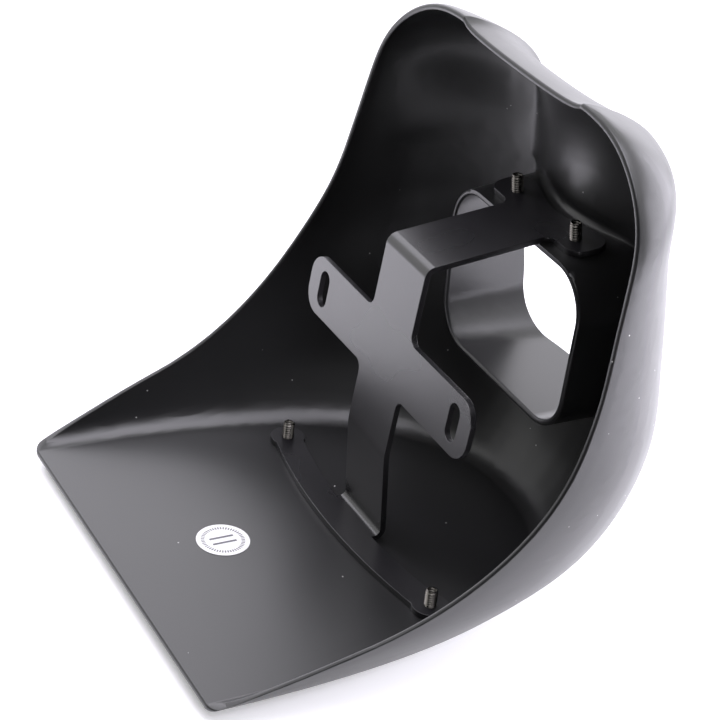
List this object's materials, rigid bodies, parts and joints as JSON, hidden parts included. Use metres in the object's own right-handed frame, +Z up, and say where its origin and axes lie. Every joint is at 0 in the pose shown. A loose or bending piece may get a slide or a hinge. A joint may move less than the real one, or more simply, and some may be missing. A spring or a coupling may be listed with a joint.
{
  "type": "motorcycle chin spoiler",
  "caption": "Scoop-shaped chin spoiler with a flat floor, swept side walls, an air mouth through the nose and a folded steel bracket with slotted arms inside.",
  "frame": {"origin": "middle of the part in plan, on the plane through the heads of the floor screws", "axes": "+X across the bike to its right, +Y forward to the nose, +Z up"},
  "size_m": [0.2648, 0.2468, 0.2459],
  "materials": {
    "skin_plastic": "satin black moulded plastic",
    "bracket_steel": "satin black coated sheet steel",
    "screw_steel": "bare steel thread",
    "washer_steel": "zinc plated steel",
    "label_film": "white label film, blank"
  },
  "bodies": {
    "root": {"spoiler_skin": "skin_plastic", "mounting_bracket": "bracket_steel", "button_screws": "screw_steel", "washers": "washer_steel", "floor_label": "label_film"}
  },
  "joints": []
}
